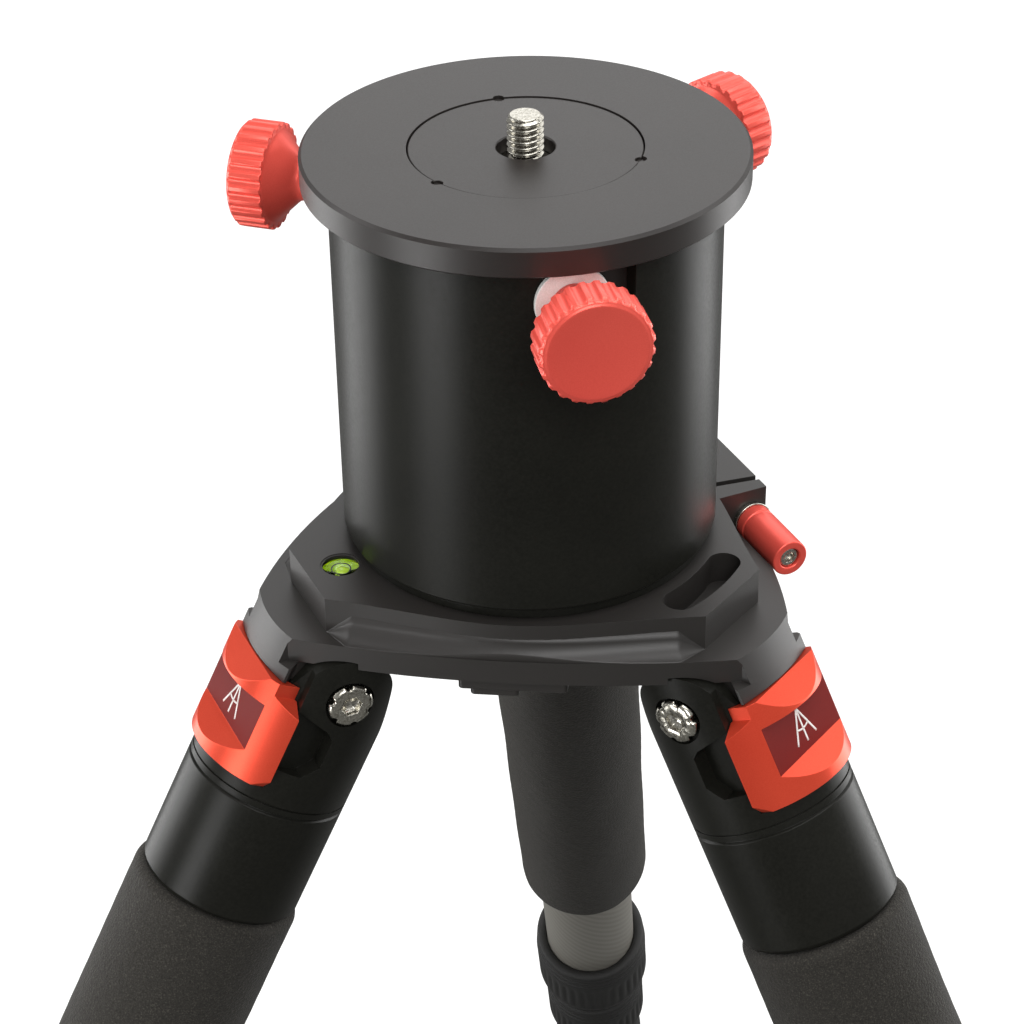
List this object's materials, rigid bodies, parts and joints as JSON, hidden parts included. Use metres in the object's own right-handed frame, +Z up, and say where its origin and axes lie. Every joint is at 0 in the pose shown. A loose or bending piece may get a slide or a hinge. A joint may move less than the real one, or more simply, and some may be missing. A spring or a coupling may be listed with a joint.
{
  "type": "star tracker tripod",
  "caption": "Compact three-legged tripod with a tall round pier, a levelling bubble and a stud plate for a star tracker.",
  "frame": {"origin": "on the floor, under the pier axis, level with the feet", "axes": "+Z up along the pier axis and the camera stud; the catch side faces -Y; one leg points to +Y"},
  "size_m": [0.538, 0.471, 0.5999],
  "materials": {
    "black_anodised": "fine bead-blasted black anodise",
    "red_anodised": "satin red anodise",
    "bright_steel": "nickel plated",
    "carbon_tube": "satin lacquered woven carbon",
    "foam_grip": "closed-cell foam",
    "foot_rubber": "moulded rubber",
    "white_nylon": "turned nylon",
    "bronze_bush": "sintered bronze",
    "level_liquid": "lime spirit",
    "level_glass": "clear"
  },
  "bodies": {
    "root": {"apex_body": "black_anodised", "bubble_housing": "black_anodised", "bubble_vial": "level_liquid", "bubble_lens": "level_glass", "catch_housing": "black_anodised", "pivot_bolts": "bright_steel", "pivot_bushes": "bronze_bush"},
    "clamp": {"clamp_barrel": "red_anodised", "clamp_screw": "bright_steel", "clamp_washer": "bright_steel"},
    "catch": {"catch_button": "black_anodised"},
    "pier": {"pier_tube": "black_anodised", "pier_foot": "black_anodised"},
    "head": {"top_plate": "black_anodised", "centre_disc": "black_anodised", "camera_stud": "bright_steel", "disc_grub_screws": "bright_steel"},
    "knob_front_run": {"knob_washer_front": "white_nylon"},
    "knob_front": {"knob_front": "red_anodised", "knob_screw_front": "bright_steel"},
    "knob_right_run": {"knob_washer_right": "white_nylon"},
    "knob_right": {"knob_right": "red_anodised", "knob_screw_right": "bright_steel"},
    "knob_left_run": {"knob_washer_left": "white_nylon"},
    "knob_left": {"knob_left": "red_anodised", "knob_screw_left": "bright_steel"},
    "leg_rear": {"shoulder_rear": "black_anodised", "collar_rear": "black_anodised", "upper_tube_rear": "carbon_tube", "foam_grip_rear": "foam_grip", "latch_spring_rear": "bright_steel"},
    "latch_rear": {"latch_rear": "red_anodised"},
    "lock_upper_rear": {"lock_upper_rear": "black_anodised"},
    "middle_rear": {"middle_tube_rear": "carbon_tube"},
    "lock_lower_rear": {"lock_lower_rear": "black_anodised"},
    "lower_rear": {"lower_tube_rear": "carbon_tube", "foot_rear": "foot_rubber"},
    "leg_left": {"shoulder_left": "black_anodised", "collar_left": "black_anodised", "upper_tube_left": "carbon_tube", "foam_grip_left": "foam_grip", "latch_spring_left": "bright_steel"},
    "latch_left": {"latch_left": "red_anodised"},
    "lock_upper_left": {"lock_upper_left": "black_anodised"},
    "middle_left": {"middle_tube_left": "carbon_tube"},
    "lock_lower_left": {"lock_lower_left": "black_anodised"},
    "lower_left": {"lower_tube_left": "carbon_tube", "foot_left": "foot_rubber"},
    "leg_right": {"shoulder_right": "black_anodised", "collar_right": "black_anodised", "upper_tube_right": "carbon_tube", "foam_grip_right": "foam_grip", "latch_spring_right": "bright_steel"},
    "latch_right": {"latch_right": "red_anodised"},
    "lock_upper_right": {"lock_upper_right": "black_anodised"},
    "middle_right": {"middle_tube_right": "carbon_tube"},
    "lock_lower_right": {"lock_lower_right": "black_anodised"},
    "lower_right": {"lower_tube_right": "carbon_tube", "foot_right": "foot_rubber"}
  },
  "joints": [
    {"name": "pier_turn", "type": "hinge", "parent": "root", "child": "pier", "pos_m": [0, 0, 0.47976], "axis": [0, 0, 1], "continuous": true},
    {"name": "head_azimuth", "type": "hinge", "parent": "pier", "child": "head", "pos_m": [0, 0, 0.59126], "axis": [0, 0, 1], "range_deg": [-2.5, 14]},
    {"name": "clamp_turn", "type": "hinge", "parent": "root", "child": "clamp", "pos_m": [0.05326, 0.03075, 0.47026], "axis": [0.5, -0.866, 0], "range_deg": [0, 720]},
    {"name": "catch_press", "type": "slide", "parent": "root", "child": "catch", "axis": [0, 1, 0], "range_m": [0, 0.003], "stiffness_N_per_m": 400, "springref_m": -0.002},
    {"name": "knob_front_back_off", "type": "slide", "parent": "head", "child": "knob_front_run", "axis": [0.3074, -0.9516, 0], "range_m": [0, 0.0025]},
    {"name": "knob_front_turn", "type": "hinge", "parent": "knob_front_run", "child": "knob_front", "pos_m": [0.01561, -0.04834, 0.57356], "axis": [0.3074, -0.9516, 0], "range_deg": [0, 720]},
    {"name": "knob_right_back_off", "type": "slide", "parent": "head", "child": "knob_right_run", "axis": [0.6704, 0.742, 0], "range_m": [0, 0.0025]},
    {"name": "knob_right_turn", "type": "hinge", "parent": "knob_right_run", "child": "knob_right", "pos_m": [0.03406, 0.03769, 0.57356], "axis": [0.6704, 0.742, 0], "range_deg": [0, 720]},
    {"name": "knob_left_back_off", "type": "slide", "parent": "head", "child": "knob_left_run", "axis": [-0.9778, 0.2096, 0], "range_m": [0, 0.0025]},
    {"name": "knob_left_turn", "type": "hinge", "parent": "knob_left_run", "child": "knob_left", "pos_m": [-0.04967, 0.01065, 0.57356], "axis": [-0.9778, 0.2096, 0], "range_deg": [0, 720]},
    {"name": "leg_rear_swing", "type": "hinge", "parent": "root", "child": "leg_rear", "pos_m": [0, 0.0632, 0.45066], "axis": [-1, 0, 0], "range_deg": [0, 27.5]},
    {"name": "latch_rear_pull", "type": "slide", "parent": "leg_rear", "child": "latch_rear", "axis": [0, 0.8864, 0.463], "range_m": [0, 0.005], "stiffness_N_per_m": 400, "springref_m": -0.004},
    {"name": "lock_upper_rear_twist", "type": "hinge", "parent": "leg_rear", "child": "lock_upper_rear", "pos_m": [0, 0.23381, 0.12403], "axis": [0, 0.463, -0.8864], "range_deg": [0, 90]},
    {"name": "middle_rear_slide", "type": "slide", "parent": "leg_rear", "child": "middle_rear", "axis": [0, 0.463, -0.8864], "range_m": [0, 0.24]},
    {"name": "lock_lower_rear_twist", "type": "hinge", "parent": "middle_rear", "child": "lock_lower_rear", "pos_m": [0, 0.25627, 0.08105], "axis": [0, 0.463, -0.8864], "range_deg": [0, 90]},
    {"name": "lower_rear_slide", "type": "slide", "parent": "middle_rear", "child": "lower_rear", "axis": [0, 0.463, -0.8864], "range_m": [0, 0.24]},
    {"name": "leg_left_swing", "type": "hinge", "parent": "root", "child": "leg_left", "pos_m": [-0.05473, -0.0316, 0.45066], "axis": [0.5, -0.866, 0], "range_deg": [0, 27.5]},
    {"name": "latch_left_pull", "type": "slide", "parent": "leg_left", "child": "latch_left", "axis": [-0.7676, -0.4432, 0.463], "range_m": [0, 0.005], "stiffness_N_per_m": 400, "springref_m": -0.004},
    {"name": "lock_upper_left_twist", "type": "hinge", "parent": "leg_left", "child": "lock_upper_left", "pos_m": [-0.20249, -0.1169, 0.12403], "axis": [-0.401, -0.2315, -0.8864], "range_deg": [0, 90]},
    {"name": "middle_left_slide", "type": "slide", "parent": "leg_left", "child": "middle_left", "axis": [-0.401, -0.2315, -0.8864], "range_m": [0, 0.24]},
    {"name": "lock_lower_left_twist", "type": "hinge", "parent": "middle_left", "child": "lock_lower_left", "pos_m": [-0.22193, -0.12813, 0.08105], "axis": [-0.401, -0.2315, -0.8864], "range_deg": [0, 90]},
    {"name": "lower_left_slide", "type": "slide", "parent": "middle_left", "child": "lower_left", "axis": [-0.401, -0.2315, -0.8864], "range_m": [0, 0.24]},
    {"name": "leg_right_swing", "type": "hinge", "parent": "root", "child": "leg_right", "pos_m": [0.05473, -0.0316, 0.45066], "axis": [0.5, 0.866, 0], "range_deg": [0, 27.5]},
    {"name": "latch_right_pull", "type": "slide", "parent": "leg_right", "child": "latch_right", "axis": [0.7676, -0.4432, 0.463], "range_m": [0, 0.005], "stiffness_N_per_m": 400, "springref_m": -0.004},
    {"name": "lock_upper_right_twist", "type": "hinge", "parent": "leg_right", "child": "lock_upper_right", "pos_m": [0.20249, -0.1169, 0.12403], "axis": [0.401, -0.2315, -0.8864], "range_deg": [0, 90]},
    {"name": "middle_right_slide", "type": "slide", "parent": "leg_right", "child": "middle_right", "axis": [0.401, -0.2315, -0.8864], "range_m": [0, 0.24]},
    {"name": "lock_lower_right_twist", "type": "hinge", "parent": "middle_right", "child": "lock_lower_right", "pos_m": [0.22193, -0.12813, 0.08105], "axis": [0.401, -0.2315, -0.8864], "range_deg": [0, 90]},
    {"name": "lower_right_slide", "type": "slide", "parent": "middle_right", "child": "lower_right", "axis": [0.401, -0.2315, -0.8864], "range_m": [0, 0.24]}
  ],
  "couplings": [
    {"joint": "knob_front_turn", "follows": "knob_front_back_off", "rad_per_m": 5026.5},
    {"joint": "knob_right_turn", "follows": "knob_right_back_off", "rad_per_m": 5026.5},
    {"joint": "knob_left_turn", "follows": "knob_left_back_off", "rad_per_m": 5026.5}
  ]
}
